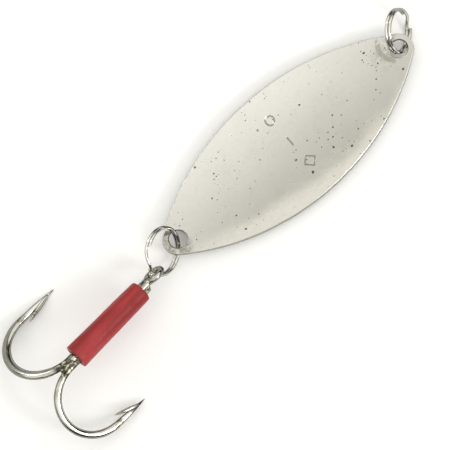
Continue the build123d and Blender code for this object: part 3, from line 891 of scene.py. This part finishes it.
def hook_material(name, seed, black_until, stain_at):
    """Hook wire: a dark tip, a bright point that is a painted highlight, a stain by the barb, and beside the
    braze a mottle of temper colour with painted shade in its dark part.
    """
    braze_mottle_centre = tuple(SHANK_ORIGIN + H * 2.2 + SHIFT)

    def local_changes(m, col, rough, height, p):
        u = m.parts(m.new("TexCoord").outputs["UV"])[0]
        ragged = m.math("ADD", u, m.times(m.noise(p, 1.8, 3), -1.6))
        # painted highlight: the point is painted light for its first few millimetres
        col = m.mix(m.step(ragged, 5.5, 8.5, 0.8, 0.0), col, rgb(0.84, 0.83, 0.78))
        point = m.bell(ragged, black_until - 1.2, black_until + 0.4)
        col = m.coat(point, 0.97, col, rgb(0.04, 0.038, 0.035))
        stain = m.bell(m.math("ABSOLUTE", m.math("SUBTRACT", u, stain_at)), 0.5, 1.5)
        stain = m.times(stain, m.step(m.noise(p, 1.5, 4, 0.6), 0.46, 0.56))
        col = m.coat(stain, 0.8, col, rgb(0.12, 0.115, 0.055))
        # beside the braze: temper colour mottled with near black, the dark part a painted shade between the
        # wires
        heat_tint_and_shade = m.bell(m.vec("DISTANCE", m.place(), braze_mottle_centre), 2.6, 3.9)
        cloud = m.step(m.noise(p, 0.85, 5, 0.65, 0.4), 0.48, 0.58)
        mottle = m.mix(cloud, rgb(0.035, 0.030, 0.018), rgb(0.66, 0.62, 0.47))
        col = m.coat(heat_tint_and_shade, 0.9, col, mottle)
        rough = add(m, rough, m.times(point, 0.1), m.times(heat_tint_and_shade, 0.25))
        return col, rough, height

    return wire_material(name, rgb(0.62, 0.615, 0.55), rgb(0.27, 0.27, 0.22), shine=0.10, seed=seed,
                         tarnish=0.5, rim=0.85, local_changes=local_changes)


def ring_material(name, seed, residue_at=None):
    """Ring wire, with a green crust round residue_at where that is given."""

    def local_changes(m, col, rough, height, p):
        near = m.bell(m.vec("DISTANCE", m.place(), tuple(residue_at)), 0.7, 2.0)
        green = m.times(near, m.step(m.noise(p, 2.2, 4, 0.6), 0.4, 0.56))
        col = m.coat(green, 0.8, col, rgb(0.20, 0.22, 0.09))
        rough = add(m, rough, m.times(green, 0.3))
        height = add(m, height, m.times(green, 0.03))
        return col, rough, height

    return wire_material(name, rgb(0.86, 0.85, 0.79), rgb(0.42, 0.42, 0.36), shine=0.09, seed=seed,
                         tarnish=0.30, rim=0.70, local_changes=local_changes if residue_at is not None else None)


def braze_material():
    m = Mat("mottled_braze", Metallic=1.0)
    p = m.place()
    big = m.noise(p, 1.3, 5, 0.65, 0.6)
    fine = m.noise(p, 5.0, 4, 0.6)
    col = m.mix(m.step(big, 0.4, 0.62), rgb(0.06, 0.05, 0.03), rgb(0.74, 0.68, 0.52))
    col = m.mix(m.step(fine, 0.5, 0.7, 0.0, 0.7), col, rgb(0.08, 0.07, 0.045))
    m.set(Base_Color=col, Roughness=m.step(fine, 0.3, 0.7, 0.3, 0.62))
    m.bump(add(m, m.times(big, 0.10), m.times(fine, 0.05)))
    return m.mat


def sleeve_material():
    m = Mat("soft_red_plastic", Metallic=0.0)
    m.bsdf.inputs["IOR"].default_value = 1.38
    m.bsdf.inputs["Subsurface Weight"].default_value = 0.12
    m.bsdf.inputs["Subsurface Radius"].default_value = (1.0, 0.25, 0.2)
    m.bsdf.inputs["Subsurface Scale"].default_value = 0.0008
    p = m.place()
    # position along the shank, drawn out so that streaks run lengthwise, and across it
    shank = m.vec("SUBTRACT", p, tuple(SHANK_ORIGIN + SHIFT))
    along, across, over = [m.vec("DOT_PRODUCT", shank, tuple(axis)) for axis in (H, E1, E2)]
    local = m.new("CombineXYZ", {0: m.times(along, 0.16), 1: across, 2: over}).outputs[0]
    streak = m.noise(local, 0.36, 2, 0.4)
    fine = m.noise(p, 3.0, 5, 0.6)
    dull = m.step(m.noise(p, 0.45, 4, 0.6), 0.45, 0.65)
    col = m.mix(m.step(streak, 0.36, 0.66), rgb(0.265, 0.018, 0.017), rgb(0.42, 0.040, 0.044))
    col = m.mix(m.step(fine, 0.5, 0.8, 0.0, 0.25), col, rgb(0.30, 0.02, 0.02))
    scratch = m.step(m.noise(m.stretch(local, (1.0, 9.0, 9.0)), 1.0, 2, 0.5), 0.64, 0.68)
    speck = m.specks(p, 0.9, 0.05, 0.12, 0.7)
    col = m.coat(scratch, 0.12, col, rgb(0.50, 0.12, 0.12))
    col = m.coat(speck, 0.7, col, rgb(0.12, 0.01, 0.01))
    rough = add(m, m.step(dull, 0.0, 1.0, 0.42, 0.56), m.step(fine, 0.4, 0.8, 0.0, 0.08),
                m.times(scratch, 0.1))
    m.set(Base_Color=col, Roughness=rough)
    m.bump(add(m, m.times(m.noise(p, 0.5, 2), 0.10), m.times(fine, 0.012),
               m.times(scratch, -0.008), m.times(speck, -0.02)))
    return m.mat


# ---------------------------------------------------------------- build the lure

blade = make_blade()
line_ring = make_ring("line_split_ring_skin", LINE_RING, LINE_RING_WIRE, spread=0.03, slim=0.98)
hook_ring = make_ring("hook_split_ring_skin", HOOK_RING, HOOK_RING_WIRE, spread=0.01, slim=0.92)
main_wire = make_main_wire()
side_wire = make_side_wire()
braze = make_braze()
sleeve = make_sleeve()

blade.data.materials.append(blade_material())
line_end = ring_path(**LINE_RING)[0][-1] + SHIFT
line_ring.data.materials.append(ring_material("line_ring_wire", 4.0, line_end))
hook_ring.data.materials.append(ring_material("hook_ring_wire", 19.0))
main_wire.data.materials.append(hook_material("main_hook_wire", 2.0, black_until=0.6, stain_at=9.6))
side_wire.data.materials.append(hook_material("side_hook_wire", 31.0, black_until=3.8, stain_at=7.6))
braze.data.materials.append(braze_material())
sleeve.data.materials.append(sleeve_material())

for obj, body, node, slot in (
    (blade, "blade", "blade", "blade_nickel"),
    (line_ring, "line_ring", "line_split_ring", "ring_steel"),
    (hook_ring, "hook_ring", "hook_split_ring", "ring_steel"),
    (main_wire, "hook", "hook_main_wire", "hook_steel"),
    (side_wire, "hook", "hook_side_wire", "hook_steel"),
    (braze, "hook", "hook_braze", "braze_metal"),
    (sleeve, "sleeve", "shank_sleeve", "red_plastic"),
):
    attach(obj, body)
    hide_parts(node)

# ---------------------------------------------------------------- floor, light and camera

EAST = np.array((0.7501, -0.6613, 0.0))
NORTH = np.array((0.6613, 0.7501, 0.0))
UP = np.array((0.0, 0.0, 1.0))


def studio(e, n, z):
    """A direction or place given as right, back and up."""
    return EAST * e + NORTH * n + UP * z


bpy.ops.mesh.primitive_plane_add(size=6.0, location=(0, 0, -0.00002))
floor = bpy.context.object
floor.name = "studio_floor"
paper = Mat("white_paper", Metallic=0.0)
fibre = paper.noise(paper.place(), 0.8, 4, 0.6)
paper.set(Base_Color=paper.mix(fibre, rgb(0.90, 0.90, 0.895), rgb(0.93, 0.93, 0.925)), Roughness=0.8)
paper.bsdf.inputs["Specular IOR Level"].default_value = 0.2
floor.data.materials.append(paper.mat)

world = bpy.data.worlds.new("light_tent")
bpy.context.scene.world = world
world.use_nodes = True
wt = world.node_tree
wt.nodes.clear()


class Sky(Mat):
    """The same shorthand for the world's nodes."""

    def __init__(self, tree):
        self.tree = tree


# a bright roof, darker toward one side, with lit walls, a dark low band and a dark gap at the front
SOOT = rgb(0.03, 0.03, 0.027)
sky = Sky(wt)
ray = sky.new("TexCoord").outputs["Generated"]
e = sky.vec("DOT_PRODUCT", ray, tuple(EAST))
n = sky.vec("DOT_PRODUCT", ray, tuple(NORTH))
z = sky.vec("DOT_PRODUCT", ray, tuple(UP))
zc = sky.math("MAXIMUM", z, 0.05)
ez, nz = sky.math("DIVIDE", e, zc), sky.math("DIVIDE", n, zc)
inside = sky.times(sky.step(ez, -0.385, -0.345), sky.bell(nz, 0.50, 0.54))
tilt = sky.math("SUBTRACT", e, n)
slope = sky.new("MapRange", {0: tilt, 1: -0.80, 2: 0.40}).outputs[0]
roof = sky.mix(slope, rgb(0.645, 0.63, 0.59), rgb(1.30, 1.30, 1.26))
wall = sky.mix(sky.step(z, 0.43, 0.56), SOOT, rgb(1.15, 1.125, 1.06))
front = sky.times(sky.bell(n, -0.75, -0.35), sky.bell(z, 0.6, 0.8))
wall = sky.mix(front, wall, SOOT)
roof = sky.mix(sky.step(z, 0.50, 0.64), SOOT, roof)
light = sky.mix(inside, wall, roof)
west = sky.times(sky.bell(e, -0.60, -0.25), sky.bell(z, 0.34, 0.46))
light = sky.mix(west, light, rgb(0.50, 0.50, 0.47))
seen = sky.new("LightPath").outputs["Is Camera Ray"]
shown = sky.mix(seen, light, rgb(1.0, 1.0, 1.0))
bg = sky.new("Background", {"Color": shown, "Strength": 1.0})
world_out = wt.nodes.new("ShaderNodeOutputWorld")
wt.links.new(bg.outputs[0], world_out.inputs[0])


def area_light(name, place, size, power, colour, glossy=True):
    """A square light facing the origin."""
    data = bpy.data.lights.new(name, "AREA")
    data.energy = power
    data.size = size
    data.color = colour
    lamp = bpy.data.objects.new(name, data)
    bpy.context.scene.collection.objects.link(lamp)
    lamp.location = place
    lamp.rotation_euler = Vector(place).to_track_quat("Z", "Y").to_euler()
    lamp.visible_glossy = glossy


area_light("key_panel", studio(0.55, -0.25, 0.42), 0.20, 1.5, (1.0, 0.985, 0.96))
area_light("back_panel", studio(-0.50, 0.42, 0.36), 0.14, 0.3, (0.97, 0.99, 1.0))
area_light("top_fill", studio(0.1, 0.1, 0.9), 0.9, 1.6, (0.98, 0.99, 1.0), glossy=False)

# camera: long lens, a little off the vertical
tilt_dir = unit(studio(0.0610974, -0.1586561, 0.9854417))
right = unit(studio(0.9981318, 0.0097116, -0.0603206))
up = np.cross(tilt_dir, right)
target = studio(-13.79356, -17.20952, 0.0) + SHIFT
spot = (target + tilt_dir * 400.0) * MM
cam_data = bpy.data.cameras.new("camera")
cam_data.sensor_width = 36.0
cam_data.lens = 148.01
cam_data.clip_start = 0.01
camera = bpy.data.objects.new("camera", cam_data)
bpy.context.scene.collection.objects.link(camera)
camera.matrix_world = Matrix((
    (right[0], up[0], tilt_dir[0], spot[0]),
    (right[1], up[1], tilt_dir[1], spot[1]),
    (right[2], up[2], tilt_dir[2], spot[2]),
    (0, 0, 0, 1),
))
bpy.context.scene.camera = camera
bpy.context.scene.view_settings.view_transform = "Standard"
bpy.context.scene.view_settings.look = "None"
bpy.context.scene.view_settings.exposure = 0.0
